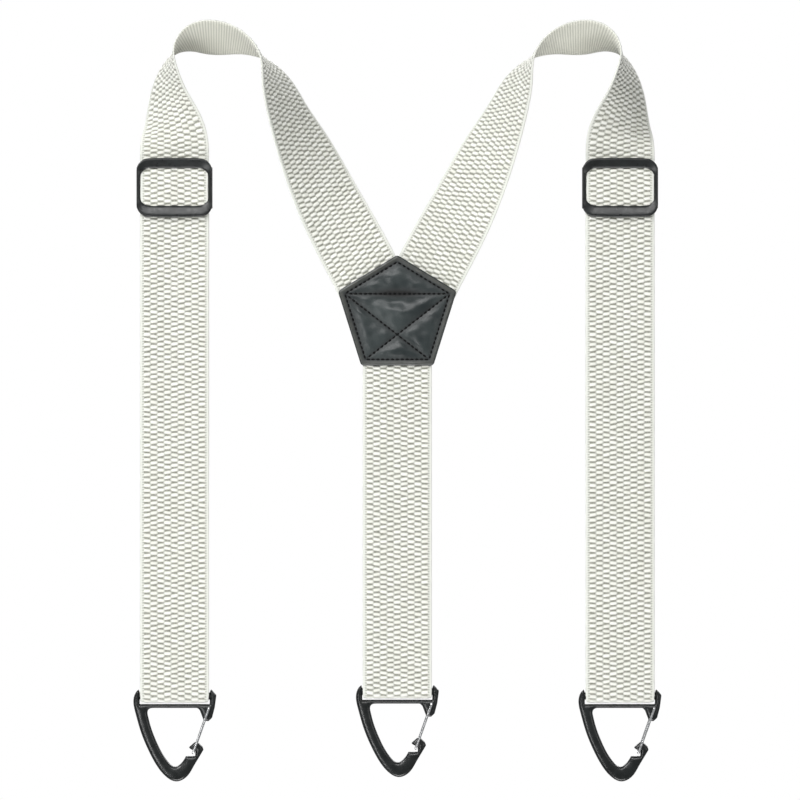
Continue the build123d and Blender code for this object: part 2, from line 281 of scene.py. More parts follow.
def side_frames(x, path, v0=0.0, direction=1.0):
    """Frames along a path in y, z; the outer face lies to the right of the way it runs, seen from +X."""
    keep = np.concatenate([[True], np.linalg.norm(np.diff(path, axis=0), axis=1) > 1e-6])
    path = path[keep]
    s = path_lengths(path)
    rows = max(3, int(round(s[-1] / STEP)) + 1)
    t = np.linspace(0, s[-1], rows)
    yz = np.stack([np.interp(t, s, path[:, 0]), np.interp(t, s, path[:, 1])], -1)
    d = np.gradient(yz, axis=0)
    d /= np.linalg.norm(d, axis=1)[:, None]
    centres = np.column_stack([np.full(rows, x), yz])
    across = np.tile([1.0, 0.0, 0.0], (rows, 1))
    normals = np.column_stack([np.zeros(rows), d[:, 1], -d[:, 0]])
    return centres, across, normals, v0 + direction * t


def arc_points(centre, radius, start, sweep, count=25):
    angles = np.radians(np.linspace(start, start + sweep, count))
    return np.stack([centre[0] + radius * np.cos(angles), centre[1] + radius * np.sin(angles)], -1)


def cubic(knots, values, slope_start, slope_end, t):
    """Smooth cubic through values at knots, with given end slopes, evaluated at t."""
    n = len(knots)
    h = np.diff(knots)
    m, rhs = np.zeros((n, n)), np.zeros((n, values.shape[1]))
    m[0, 0] = m[-1, -1] = 1
    rhs[0], rhs[-1] = slope_start, slope_end
    delta = np.diff(values, axis=0) / h[:, None]
    for i in range(1, n - 1):
        m[i, i - 1], m[i, i], m[i, i + 1] = h[i], 2 * (h[i - 1] + h[i]), h[i - 1]
        rhs[i] = 3 * (h[i] * delta[i - 1] + h[i - 1] * delta[i])
    d = np.linalg.solve(m, rhs)
    k = np.clip(np.searchsorted(knots, t, side="right") - 1, 0, n - 2)
    q = ((t - knots[k]) / h[k])[:, None]
    hk = h[k][:, None]
    return ((1 + 2 * q) * (1 - q) ** 2 * values[k] + q * (1 - q) ** 2 * hk * d[k]
            + q * q * (3 - 2 * q) * values[k + 1] + q * q * (q - 1) * hk * d[k + 1])


def arch_frames(sign):
    """Frames from the top of a front leg over the shoulder and in under the patch."""
    lean = math.radians(PATCH_LEAN)
    table = np.array(ARCH)
    knots = path_lengths(table[:, :2])
    into = np.array([math.sin(lean), -math.cos(lean), 0.0])
    fine = np.linspace(0, knots[-1], 1500)
    xzr = cubic(knots, table, np.array([0.0, 1.0, 0.0]), into, fine)
    tail = xzr[-1] + into * np.linspace(0, PATCH_REACH, 40)[1:, None]
    xzr = np.vstack([xzr, tail])
    s = path_lengths(xzr[:, :2])
    rows = int(round(s[-1] / STEP)) + 1
    t = np.linspace(0, s[-1], rows)
    x, z, roll = (np.interp(t, s, xzr[:, i]) for i in range(3))
    tangent = np.stack([np.gradient(x), np.gradient(z)], -1)
    tangent /= np.linalg.norm(tangent, axis=1)[:, None]
    outward = np.stack([-tangent[:, 1], np.zeros(rows), tangent[:, 0]], -1)
    c, q = np.cos(np.radians(roll))[:, None], np.sin(np.radians(roll))[:, None]
    rear = np.array([0.0, 1.0, 0.0])
    across = outward * c + rear * q
    normals = -rear * c + outward * q
    flip = np.array([-sign, 1.0, 1.0])
    centres = np.stack([x, np.zeros(rows), z], -1)
    v = LEG_TOP - FRONT_BAR_Z + t
    # the sign keeps u running to +X on both legs
    return centres * flip, across * flip * sign, normals * flip, v


# ------------------------------------------------------------ materials

def shader(name):
    material = bpy.data.materials.new(name)
    material.use_nodes = True
    tree = material.node_tree
    bsdf = tree.nodes["Principled BSDF"]
    return material, tree, bsdf


def node(tree, kind, inputs=(), **settings):
    """A node with settings and inputs; an input is a value or another node's socket."""
    made = tree.nodes.new(kind)
    for key, value in settings.items():
        setattr(made, key, value)
    for key, value in dict(inputs).items():
        if isinstance(value, bpy.types.NodeSocket):
            tree.links.new(value, made.inputs[key])
        else:
            made.inputs[key].default_value = value
    return made


def math_node(tree, operation, a, b=0.0, c=0.0):
    return node(tree, "ShaderNodeMath", {0: a, 1: b, 2: c}, operation=operation).outputs[0]


def mix_colour(tree, factor, a, b):
    made = node(tree, "ShaderNodeMix", data_type="RGBA")
    for socket, value in ((made.inputs[0], factor), (made.inputs[6], a), (made.inputs[7], b)):
        if isinstance(value, bpy.types.NodeSocket):
            tree.links.new(value, socket)
        else:
            socket.default_value = value
    return made.outputs[2]


def noise(tree, scale, detail, coordinates, roughness=0.5):
    inputs = {"Scale": scale, "Detail": detail, "Roughness": roughness, "Vector": coordinates}
    return node(tree, "ShaderNodeTexNoise", inputs).outputs["Fac"]


def ramp(tree, factor, low, high, out_low=0.0, out_high=1.0):
    made = node(tree, "ShaderNodeMapRange", {"Value": factor, "From Min": low, "From Max": high,
                                            "To Min": out_low, "To Max": out_high})
    return made.outputs[0]


def bump(tree, height, strength, distance, below=None):
    inputs = {"Height": height, "Strength": strength, "Distance": distance}
    if below is not None:
        inputs["Normal"] = below
    return node(tree, "ShaderNodeBump", inputs).outputs[0]


def object_coordinates(tree):
    return node(tree, "ShaderNodeTexCoord").outputs["Object"]


def webbing_material():
    """Ivory elastic: bright floats with painted olive-grey shade in the gaps, and a ribbed inner face with
    painted shade between its ribs.
    """
    material, tree, bsdf = shader("woven_elastic")
    attribute = node(tree, "ShaderNodeAttribute", attribute_name="weave")
    parts = node(tree, "ShaderNodeSeparateColor", {0: attribute.outputs["Color"]})
    selvage_tone_and_shade = attribute.outputs["Alpha"]
    gap, tone, inner = parts.outputs[0], parts.outputs[1], parts.outputs[2]
    uv = node(tree, "ShaderNodeUVMap", uv_map="Weave").outputs[0]
    position = object_coordinates(tree)
    fine = noise(tree, 1900.0, 2.0, position)
    patchy = noise(tree, 60.0, 3.0, position)
    outer = mix_colour(tree, tone, (0.73, 0.73, 0.67, 1), (0.83, 0.83, 0.785, 1))
    outer = mix_colour(tree, ramp(tree, patchy, 0.3, 0.7, 0.0, 0.35), outer, (0.79, 0.785, 0.71, 1))
    # the selvage is greyer: partly its own tone, partly painted shade where the strap's edges turn from the
    # light
    outer = mix_colour(tree, selvage_tone_and_shade, outer, (0.66, 0.67, 0.62, 1))
    # painted shade: the gaps and creases between floats darkened to olive grey, broken up by fine noise
    painted_gap_shade = math_node(tree, "MULTIPLY", gap, ramp(tree, fine, 0.25, 0.75, 0.65, 1.15))
    outer = mix_colour(tree, painted_gap_shade, outer, (0.215, 0.22, 0.175, 1))
    # painted shade in the valleys between the ribs of the inner face
    inside = mix_colour(tree, gap, (0.74, 0.74, 0.66, 1), (0.27, 0.27, 0.22, 1))
    colour = mix_colour(tree, inner, outer, inside)
    tree.links.new(colour, bsdf.inputs["Base Color"])
    bsdf.inputs["Roughness"].default_value = 0.82
    bsdf.inputs["Sheen Weight"].default_value = 0.25
    bsdf.inputs["Sheen Roughness"].default_value = 0.5
    split = node(tree, "ShaderNodeSeparateXYZ", {0: uv})
    yarns = math_node(tree, "SINE", math_node(tree, "MULTIPLY", split.outputs[0], 2 * math.pi / 0.63))
    twist_phase = math_node(tree, "ADD", math_node(tree, "MULTIPLY", split.outputs[0], 9.0),
                            math_node(tree, "MULTIPLY", split.outputs[1], 14.0))
    twist = math_node(tree, "SINE", twist_phase)
    threads = math_node(tree, "ADD", math_node(tree, "MULTIPLY", yarns, 0.5),
                        math_node(tree, "MULTIPLY", twist, 0.3))
    height = math_node(tree, "ADD", threads, math_node(tree, "MULTIPLY", fine, 0.35))
    height = math_node(tree, "MULTIPLY", height, ramp(tree, inner, 0.0, 1.0, 1.0, 0.12))
    tree.links.new(bump(tree, height, 0.3, 0.0001), bsdf.inputs["Normal"])
    return material


def leather_material():
    """Black semi-gloss leather with a fine pebble, soft creases, painted shade along its seams, its middle
    crease and its rolled edge, and a rubbed border.
    """
    material, tree, bsdf = shader("black_leather")
    position = object_coordinates(tree)
    grain = node(tree, "ShaderNodeTexVoronoi", {"Vector": position, "Scale": 1500.0}).outputs["Distance"]
    creases = noise(tree, 240.0, 4.0, position, 0.6)
    clouds = noise(tree, 55.0, 3.0, position)
    rub = node(tree, "ShaderNodeAttribute", attribute_name="rub").outputs["Fac"]
    shaded_seam = node(tree, "ShaderNodeAttribute", attribute_name="shaded_seam").outputs["Fac"]
    colour = mix_colour(tree, ramp(tree, clouds, 0.3, 0.7),
                        (0.009, 0.014, 0.015, 1), (0.031, 0.040, 0.040, 1))
    colour = mix_colour(tree, ramp(tree, grain, 0.0, 0.5, 0.35, 0.0), colour, (0.008, 0.01, 0.01, 1))
    rubbed = math_node(tree, "MULTIPLY", rub, ramp(tree, creases, 0.3, 0.7, 0.4, 1.0))
    colour = mix_colour(tree, rubbed, colour, (0.062, 0.063, 0.056, 1))
    # painted shade: seams, the front's middle crease and the rolled edge darkened to near black
    colour = mix_colour(tree, shaded_seam, colour, (0.002, 0.002, 0.002, 1))
    tree.links.new(colour, bsdf.inputs["Base Color"])
    gloss = ramp(tree, clouds, 0.25, 0.75, 0.31, 0.43)
    tree.links.new(math_node(tree, "MULTIPLY_ADD", shaded_seam, 0.45, gloss), bsdf.inputs["Roughness"])
    low = bump(tree, creases, 0.3, 0.0003)
    tree.links.new(bump(tree, grain, 0.3, 0.0001, low), bsdf.inputs["Normal"])
    return material


def coated_material(name, dark, light, roughness, peel):
    """Satin black coating or moulding, with slight mottling and an uneven gloss."""
    material, tree, bsdf = shader(name)
    position = object_coordinates(tree)
    mottle = noise(tree, 130.0, 4.0, position)
    skin = noise(tree, 2600.0, 2.0, position)
    smear = noise(tree, 420.0, 3.0, position)
    colour = mix_colour(tree, ramp(tree, mottle, 0.3, 0.7), dark, light)
    tree.links.new(colour, bsdf.inputs["Base Color"])
    tree.links.new(ramp(tree, smear, 0.3, 0.7, roughness - 0.06, roughness + 0.08), bsdf.inputs["Roughness"])
    low = bump(tree, smear, 0.12, 0.0002)
    tree.links.new(bump(tree, skin, peel, 0.00006, low), bsdf.inputs["Normal"])
    return material


def steel_material():
    """Bright drawn spring wire with fine draw marks."""
    material, tree, bsdf = shader("spring_steel")
    position = object_coordinates(tree)
    stretched = node(tree, "ShaderNodeMapping", {"Vector": position, "Scale": (5200.0, 5200.0, 350.0)})
    marks = noise(tree, 1.0, 2.0, stretched.outputs[0])
    stains = noise(tree, 500.0, 3.0, position)
    colour = mix_colour(tree, stains, (0.66, 0.67, 0.68, 1), (0.82, 0.82, 0.82, 1))
    tree.links.new(colour, bsdf.inputs["Base Color"])
    bsdf.inputs["Metallic"].default_value = 1.0
    tree.links.new(ramp(tree, marks, 0.3, 0.7, 0.16, 0.34), bsdf.inputs["Roughness"])
    tree.links.new(bump(tree, marks, 0.15, 0.00004), bsdf.inputs["Normal"])
    return material


def fibre_material(name, dark, light, shine):
    """Dull fibres, as of sewing thread or felt."""
    material, tree, bsdf = shader(name)
    position = object_coordinates(tree)
    fibre = noise(tree, 4200.0, 2.0, position)
    colour = mix_colour(tree, fibre, dark, light)
    tree.links.new(colour, bsdf.inputs["Base Color"])
    bsdf.inputs["Roughness"].default_value = 0.65
    bsdf.inputs["Specular IOR Level"].default_value = shine
    tree.links.new(bump(tree, fibre, 0.5, 0.00008), bsdf.inputs["Normal"])
    return material


MATERIALS = {
    "webbing": webbing_material(),
    "leather": leather_material(),
    "hook": coated_material("satin_black_paint", (0.003, 0.004, 0.004, 1), (0.008, 0.010, 0.010, 1),
                            0.27, 0.2),
    "adjuster": coated_material("black_moulding", (0.005, 0.006, 0.006, 1), (0.012, 0.014, 0.014, 1),
                                0.32, 0.25),
    "steel": steel_material(),
    "felt": fibre_material("black_felt", (0.010, 0.010, 0.011, 1), (0.022, 0.022, 0.024, 1), 0.1),
    "black_thread": fibre_material("black_thread", (0.001, 0.001, 0.001, 1), (0.006, 0.006, 0.006, 1), 0.1),
    "white_thread": fibre_material("white_thread", (0.7, 0.7, 0.65, 1), (0.88, 0.88, 0.84, 1), 0.4),
}


# ------------------------------------------------------------ straps

def fold_shape(s):
    """How much of the weave shows, and how far the edges are drawn in, at s past the start of a fold."""
    tight = smoothstep(1.6, 3.4, s) * (1 - smoothstep(8.0, 11.0, s))
    return 1 - 0.85 * tight, 0.9 * smoothstep(2.4, 5.0, s) * (1 - smoothstep(8.0, 14.0, s))


def arch_and_leg(side, sign):
    """The strap from the patch over the shoulder, and its straight leg down the front."""
    frames = arch_frames(sign)
    arch = webbing(f"{side}_arch_webbing", *frames, seed=1.0)
    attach(arch, "root")
    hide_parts(f"{side}_shoulder_strap")

    frames = straight(sign * FRONT_X, FRONT_BAR_Z, LEG_TOP)
    leg = webbing(f"{side}_leg_webbing", *frames, seed=1.0, taper=NEST * (1 - smoothstep(0, 4, frames[3])))
    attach(leg, "root")
    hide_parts(f"{side}_upper_ply")
    return leg


def lower_ply(side, x):
    """The ply that comes into sight under the leg when the strap is let out."""
    bar, top = FRONT_BAR_Z, FRONT_BAR_Z + LOWER_PLY
    path = np.array([(NEST, top), (NEST, bar + 7), (0.0, bar + 1), (0.0, bar)])
    frames = side_frames(x, path, v0=LOWER_PLY, direction=-1.0)
    ply = webbing(f"{side}_lower_webbing", *frames, width=WIDTH - 0.3, thick=THICK - 0.14, relief=0.9,
                  seed=1.0)
    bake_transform(ply)
    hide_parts(f"{side}_front_ply")


def adjuster_tail(side, x):
    """The webbing sewn round the adjuster's middle bar, and the ply that carries on from it to the hook."""
    top = GLIDE_Z + 1.2
    sewn, behind_bar = TAIL_Y + SEWN_Y, MID_BAR_Y + WRAP_R
    rise = rounded_path([(TAIL_Y, TAIL_END_Z), (TAIL_Y, GLIDE_Z - 46), (sewn, GLIDE_Z - 38),
                         (sewn, GLIDE_Z - 13), (behind_bar, GLIDE_Z - 5), (behind_bar, top)], 8)
    over = arc_points((MID_BAR_Y, top), WRAP_R, 0, 180)
    down = np.array([(TAIL_Y, top), (TAIL_Y, GLIDE_Z - 35.5)])
    frames = side_frames(x, np.vstack([rise, over, down]))
    wrap = webbing(f"{side}_wrap_webbing", *frames, thick=THICK - 0.04, relief=0.8, seed=2.0,
                   taper=NEST * (1 - smoothstep(0, 4, frames[3])))
    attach(wrap, f"{side}_slider")
    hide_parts(f"{side}_slider_wrap", f"{side}_return_ply")

    low, high = FRONT_BAR_Z + 19, TAIL_END_Z + 6
    frames = side_frames(x, np.array([(RETURN_Y, low), (RETURN_Y, high)]), v0=low - TAIL_END_Z)
    ply = webbing(f"{side}_return_webbing", *frames, width=WIDTH - 0.25, thick=RETURN_THICK, relief=0.8,
                  seed=2.0, taper=0.3 * (1 - smoothstep(0, 4, frames[3] - frames[3][0])))
    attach(ply, f"{side}_hanger")


def hook_loop(side, x):
    """The end folded round the hook's eye bar, thinner where it runs up between the plies."""
    bar = FRONT_BAR_Z
    fold = arc_points((FOLD_R, bar), FOLD_R, 180, 180)
    close = rounded_path([(2 * FOLD_R, bar), (2 * FOLD_R, bar + 3), (TAIL_Y, bar + 17),
                          (TAIL_Y - 0.2, bar + 20), (LOOP_END_Y, bar + 25), (LOOP_END_Y, bar + 72)], 8)
    frames = side_frames(x, np.vstack([fold, close]), direction=-1.0)
    calm, pinch = fold_shape(-frames[3])
    inside = smoothstep(bar + 17, bar + 26, frames[0][:, 2]) * (frames[0][:, 1] < 1.9)
    loop = webbing(f"{side}_loop_webbing", *frames, width=WIDTH - 0.4, thick=1.3 - 0.85 * inside, relief=0.9,
                   seed=1.0, flat=calm * (1 - 0.8 * inside), pinch=pinch)
    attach(loop, f"{side}_end")
    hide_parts(f"{side}_clip_loop")


def window_ply(side, x):
    """The stretch of the strap that bulges through the adjuster's window."""
    bulge = [(0.0, 16), (0.0, 12.5), (-1.7, 5), (-2.0, -3), (-1.5, -8), (0.0, -12.5), (0.0, -15)]
    path = rounded_path([(y, GLIDE_Z + up) for y, up in bulge], 12)
    ply = webbing(f"{side}_window_webbing", *side_frames(x, path), width=WIDTH - 0.7, seed=1.0)
    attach(ply, f"{side}_slider")


def front_straps():
    """All the webbing of both front straps."""
    for side, sign in SIDES.items():
        x = sign * FRONT_X
        leg = arch_and_leg(side, sign)
        lower_ply(side, x)
        adjuster_tail(side, x)
        hook_loop(side, x)
        window_ply(side, x)


def back_strap():
    """The centre strap and its sewn end."""
    bar = BACK_BAR_Z
    path = np.vstack([
        np.array([(0.0, BACK_TOP_Z), (0.0, bar)]),
        arc_points((FOLD_R, bar), FOLD_R, 180, 180),
        rounded_path([(2 * FOLD_R, bar), (2 * FOLD_R, bar + 2), (SEWN_Y, bar + 12), (SEWN_Y, bar + 30)], 8),
    ])
    frames = side_frames(0.0, path)
    calm, pinch = fold_shape(frames[3] - (BACK_TOP_Z - bar))
    strap = webbing("back_webbing", *frames, seed=5.0, flat=calm, pinch=pinch)
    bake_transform(strap)
    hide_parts("back_strap", "back_clip_loop")


# ------------------------------------------------------------ hardware

def spline_points(points, start, end, spacing=0.5):
    """Points along a smooth curve through x, z points, with given end directions."""
    pts = np.array(points, float)
    knots = path_lengths(pts)
    unit = [np.array(d, float) / np.linalg.norm(d) for d in (start, end)]
    return cubic(knots, pts, unit[0], unit[1], np.linspace(0, knots[-1], int(knots[-1] / spacing)))


def round_corners(points, radii):
    """A closed outline with each listed corner, by index, rounded to its radius."""
    count = len(points)
    out = []
    for i in range(count):
        a, b, c = (np.array(points[(i + k) % count], float) for k in (-1, 0, 1))
        out += corner(a, b, c, radii[i], share=0.48, steps=6) if i in radii else [b]
    return np.array(out)


def even(path, spacing):
    """The closed path with its long steps divided."""
    out = []
    for a, b in zip(path, np.roll(path, -1, 0)):
        run = np.linalg.norm(b - a)
        if run < 1e-4:
            continue
        steps = max(1, round(run / spacing))
        out += [a + (b - a) * k for k in np.arange(steps) / steps]
    return np.array(out)


def outline_distance(p, path):
    """Distance of each point from a closed path."""
    a, b = path, np.roll(path, -1, 0)
    d = b - a
    rel = p[:, None, :] - a[None]
    t = np.clip((rel * d).sum(-1) / (d * d).sum(-1), 0, 1)
    return np.linalg.norm(rel - t[..., None] * d, axis=-1).min(1)


def cast_plate(outline, thickness, rounding, crown, reach):
    """Points and faces of a plate with rounded edges, its faces rising by crown over reach from the edge."""
    outline = even(outline, 0.55)
    ahead, behind = np.roll(outline, -1, 0), np.roll(outline, 1, 0)
    tangent = (ahead - behind) / np.linalg.norm(ahead - behind, axis=1)[:, None]
    area = 0.5 * np.sum(outline[:, 0] * ahead[:, 1] - ahead[:, 0] * outline[:, 1])
    inward = np.stack([-tangent[:, 1], tangent[:, 0]], -1) * np.sign(area)
    free = []
    for share in (0.06, 0.2, 0.4, 0.65, 1.0, 1.5):
        ring = outline + inward * rounding * share
        free.append(ring[outline_distance(ring, outline) > rounding * share - 0.03])
    lo, hi = outline.min(0), outline.max(0)
    grid = np.stack(np.meshgrid(*(np.arange(low, high, 0.7) for low, high in zip(lo, hi))), -1).reshape(-1, 2)
    free.append(grid[outline_distance(grid, outline) > rounding * 1.7])
    flat = np.vstack([outline, *free])
    edges = [(i, (i + 1) % len(outline)) for i in range(len(outline))]
    verts, _, faces, _, _, _ = delaunay_2d_cdt([Vector(p) for p in flat], edges, [], 1, 1e-6)
    verts = np.array([tuple(v) for v in verts])
    depth = outline_distance(verts, outline)
    on_edge = depth < 1e-4
    within = np.clip(depth / rounding, 0, 1)
    half = thickness / 2 - rounding + rounding * np.sqrt(1 - (1 - within) ** 2)
    half = half - crown * (1 - np.clip(depth / reach, 0, 1)) ** 2
    front = np.column_stack([verts[:, 0], -half, verts[:, 1]])
    back = np.column_stack([verts[:, 0], half, verts[:, 1]])
    n = len(verts)
    directed = {(i, j): None for face in faces for i, j in zip(face, face[1:] + face[:1])}
    rim = [(i, j) for i, j in directed if (j, i) not in directed and on_edge[i] and on_edge[j]]
    quads = [(j, i, i + n, j + n) for i, j in rim]
    triangles = [tuple(f) for f in faces] + [tuple(i + n for i in reversed(f)) for f in faces]
    return np.vstack([front, back]), triangles + quads


def tube_points(path, radius, around):
    """Points and faces of a round bar along x, y, z points."""
    path = np.array(path, float)
    d = np.gradient(path, axis=0)
    d /= np.linalg.norm(d, axis=1)[:, None]
    points = []
    side = np.cross(d[0], [0.0, 1.0, 0.1])
    for p, t in zip(path, d):
        side = side - (side @ t) * t
        side /= np.linalg.norm(side)
        other = np.cross(t, side)
        for k in range(around):
            a = 2 * math.pi * k / around
            points.append(p + radius * (math.cos(a) * side + math.sin(a) * other))
    return np.array(points), ring_faces(len(path), around)


def merged(name, parts, material):
    """One object out of several lists of points and faces, in mm."""
    points, faces = [], []
    for part_points, part_faces in parts:
        base = sum(len(p) for p in points)
        points.append(np.array(part_points, float))
        faces += [tuple(i + base for i in f) for f in part_faces]
    obj = new_object(name, mesh_from(name, np.vstack(points) * MM, faces), material)
    fix_winding(obj)
    return obj


def hook_outline():
    """Outline of the hook in x and z from its eye bar: ears, long arm, toe, nose and gate lug."""
    arm = spline_points([(-19.9, 3.6), (-22.3, 0.2), (-21.5, -10.0), (-18.6, -20.0), (-14.6, -29.7),
                         (-10.2, -37.9), (-5.3, -44.0), (0.8, -47.1), (6.8, -44.3), (11.0, -37.8)],
                        (-1, -0.7), (4.9, 8.2))
    nose = round_corners([(11.0, -37.8), (15.9, -29.6), (15.2, -27.7), (13.0, -25.6), (11.0, -25.4),
                          (7.6, -28.4), (9.2, -29.5), (11.3, -30.2), (11.3, -33.1), (6.2, -33.1)],
                         {1: 1.0, 2: 1.0, 3: 0.7, 4: 0.6, 5: 0.7, 6: 0.4, 7: 0.3, 8: 0.4})
    inner = spline_points([(6.2, -33.1), (3.7, -36.9), (0.6, -38.9), (-4.2, -35.5), (-9.6, -26.2),
                           (-13.7, -15.2), (-15.4, -6.6)], (-0.5, -1), (-0.15, 1))
    lug = round_corners([(-13.95, -14.4), (-15.75, -6.6), (12.6, -6.6), (13.9, -8.0), (16.0, -13.6),
                         (18.6, -13.9), (20.6, -12.0), (22.1, -6.2), (23.0, 0.6), (20.0, 4.0), (19.3, 1.9),
                         (19.3, -4.4), (-19.3, -4.4), (-19.3, 1.9), (-19.9, 3.6)],
                        {1: 3.4, 2: 1.6, 3: 1.2, 4: 0.8, 5: 1.0, 6: 1.6, 7: 3.0, 8: 1.4, 9: 0.9, 10: 0.4,
                         11: 0.4, 12: 0.4, 13: 0.4})
    keep = inner[inner[:, 1] < -14.6]
    return np.vstack([arm[:-1], nose[:-1], keep, lug[1:-1]])


def hooks():
    middles = {"left": (-FRONT_X, FRONT_BAR_Z), "right": (FRONT_X, FRONT_BAR_Z), "back": (0.0, BACK_BAR_Z)}
    plate = cast_plate(hook_outline(), thickness=4.8, rounding=1.4, crown=0.75, reach=3.6)
    bar = tube_points([(x, 0.0, 0.0) for x in np.linspace(-20.4, 20.4, 12)], 2.0, 20)
    for name, (x, z) in middles.items():
        hook = merged(f"{name}_hook", [(np.array(p) + (x, FOLD_R, z), f) for p, f in (plate, bar)],
                      MATERIALS["hook"])
        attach(hook, f"{name}_clip")
        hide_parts(f"{name}_clip_body")
        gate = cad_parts[f"{name}_clip_gate"]
        gate.data.materials.clear()
        gate.data.materials.append(MATERIALS["steel"])


def rounded_box(centre, size, rounding):
    """Points and faces of a box with rounded edges."""
    bm = bmesh.new()
    bmesh.ops.create_cube(bm, size=1.0)
    bmesh.ops.scale(bm, vec=size, verts=bm.verts)
    bmesh.ops.bevel(bm, geom=list(bm.edges), offset=rounding, segments=4, profile=0.5, affect="EDGES")
    bmesh.ops.translate(bm, vec=centre, verts=bm.verts)
    bm.verts.index_update()
    points = [tuple(v.co) for v in bm.verts]
    faces = [tuple(v.index for v in f.verts) for f in bm.faces]
    bm.free()
    return points, faces


def rounded_rectangle(half_w, half_h, radius, bow, per_side=18, per_corner=12):
    """Closed outline with the same number of points for any size, bowed out at top and bottom."""
    quarters = []
    for sx, sz, start in ((1, 1, 0), (-1, 1, 90), (-1, -1, 180), (1, -1, 270)):
        centre = (sx * (half_w - radius), sz * (half_h - radius))
        quarters.append(arc_points(centre, radius, start, 90, per_corner))
    share = np.arange(1, per_side + 1)[:, None] / (per_side + 1)
    points = []
    for here, after in zip(quarters, quarters[1:] + quarters[:1]):
        points += [here, here[-1] + (after[0] - here[-1]) * share]
    points = np.vstack(points)
    points[:, 1] += np.sign(points[:, 1]) * bow * (1 - (points[:, 0] / half_w) ** 2)
    return points


def adjusters():
    """Webbing adjusters: a crowned front frame, two rails behind it and the middle bar."""
    outer = rounded_rectangle(20.8, 15.65, 6.2, 0.8)
    inner = rounded_rectangle(18.8, 10.2, 5.2, 0.1) + (0, 0.35)
    # share of the way from the outer edge to the window, and y of the face there
    section = [(0.02, -1.0), (0.0, -1.3), (0.0, -2.1), (0.015, -2.7), (0.05, -3.1), (0.1, -3.32),
               (0.17, -3.4), (0.27, -3.33), (0.4, -3.17), (0.55, -2.96), (0.7, -2.73), (0.83, -2.5),
               (0.92, -2.25), (0.98, -1.85), (1.0, -1.4), (0.97, -1.0)]
    rings = [np.column_stack([outer[:, 0] + (inner - outer)[:, 0] * t, np.full(len(outer), y),
                              outer[:, 1] + (inner - outer)[:, 1] * t]) for t, y in section]
    grid = np.arange(len(rings) * len(outer)).reshape(len(rings), -1)
    below = np.roll(grid, -1, 0)
    faces = np.stack([grid, np.roll(grid, -1, 1), np.roll(below, -1, 1), below], -1).reshape(-1, 4).tolist()
    plate = (np.vstack(rings), faces)
    rails = [rounded_box((sx * 20.0, 1.55, 0.0), (1.6, 5.5, 22.8), 0.45) for sx in (-1, 1)]
    bar = rounded_box((0, MID_BAR_Y, 0), (39.6, 1.5, 4.0), 0.5)
    for side, sign in SIDES.items():
        parts = [(np.array(p) + (sign * FRONT_X, 0, GLIDE_Z), f) for p, f in (plate, *rails, bar)]
        obj = merged(f"{side}_adjuster", parts, MATERIALS["adjuster"])
        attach(obj, f"{side}_slider")
        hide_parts(f"{side}_adjuster_frame")


# ------------------------------------------------------------ stitches

def stitches(name, rows, surface, material, length=1.9, pitch=2.8, radius=0.27):
    """Separate stitches laid along rows of x, z points, at the y that surface(x, z) gives."""
    points, faces = [], []
    around, rings = 8, 6
    rng = random.Random(name)
    for (x0, z0), (x1, z1) in rows:
        run = math.hypot(x1 - x0, z1 - z0)
        dx, dz = (x1 - x0) / run, (z1 - z0) / run
        count = max(2, round((run - length) / pitch) + 1)
        gap = (run - length) / (count - 1)
        for i in range(count):
            mid = length / 2 + gap * i + rng.uniform(-0.08, 0.08)
            half = length / 2 * rng.uniform(0.92, 1.05)
            base = len(points)
            for r in range(rings + 1):
                a = math.pi * r / rings
                along, size = -math.cos(a) * half, math.sin(a) ** 0.6 * radius
                px, pz = x0 + dx * (mid + along), z0 + dz * (mid + along)
                y = surface(px, pz) + 0.22 * (along / half) ** 2
                for k in range(around):
                    b = 2 * math.pi * k / around
                    side, up = math.cos(b) * size, math.sin(b) * size
                    points.append((px - dz * side, y - up, pz + dx * side))
            for r in range(rings):
                for k in range(around):
                    p, q = base + r * around + k, base + r * around + (k + 1) % around
                    faces.append((p, q, q + around, p + around))
    mesh = mesh_from(name, np.array(points) * MM, faces)
    return new_object(name, mesh, material)


# ------------------------------------------------------------ patch

def inset_polygon(points, inset):
    """Corners of a convex polygon whose sides are moved in."""
    out = []
    count = len(points)
    for i in range(count):
        p, c, n = (np.array(points[(i + k) % count], float) for k in (-1, 0, 1))
        d1, d2 = (c - p) / np.linalg.norm(c - p), (n - c) / np.linalg.norm(n - c)
        n1, n2 = np.array([d1[1], -d1[0]]), np.array([d2[1], -d2[0]])
        m = np.array([n1, n2])
        out.append(tuple(c + np.linalg.solve(m, np.array([inset, inset]))))
    return out


def patch_outline():
    """Closed outline of the patch with rounded corners, evenly spaced."""
    count = len(PATCH)
    path = []
    for i in range(count):
        path += corner(*(np.array(PATCH[(i + k) % count], float) for k in (-1, 0, 1)), PATCH_CORNER)
    path = np.array(path + [path[0]])
    s = path_lengths(path)
    t = np.linspace(0, s[-1], int(s[-1] / OUTLINE_STEP), endpoint=False)
    return np.stack([np.interp(t, s, path[:, 0]), np.interp(t, s, path[:, 1])], -1)


def segment_distance(p, a, b):
    a, b = np.array(a), np.array(b)
    d = b - a
    t = np.clip(((p - a) @ d) / (d @ d), 0, 1)
    return np.linalg.norm(p - (a + t[..., None] * d), axis=-1)


TOP, RIGHT, LOW_RIGHT, LOW_LEFT, LEFT = inset_polygon(PATCH, 3.3)
BORDER_ROWS = [(TOP, RIGHT), (RIGHT, LOW_RIGHT), (LOW_RIGHT, LOW_LEFT), (LOW_LEFT, LEFT), (LEFT, TOP)]
QUILT_ROWS = [(LEFT, RIGHT), (LEFT, LOW_RIGHT), (RIGHT, LOW_LEFT)]

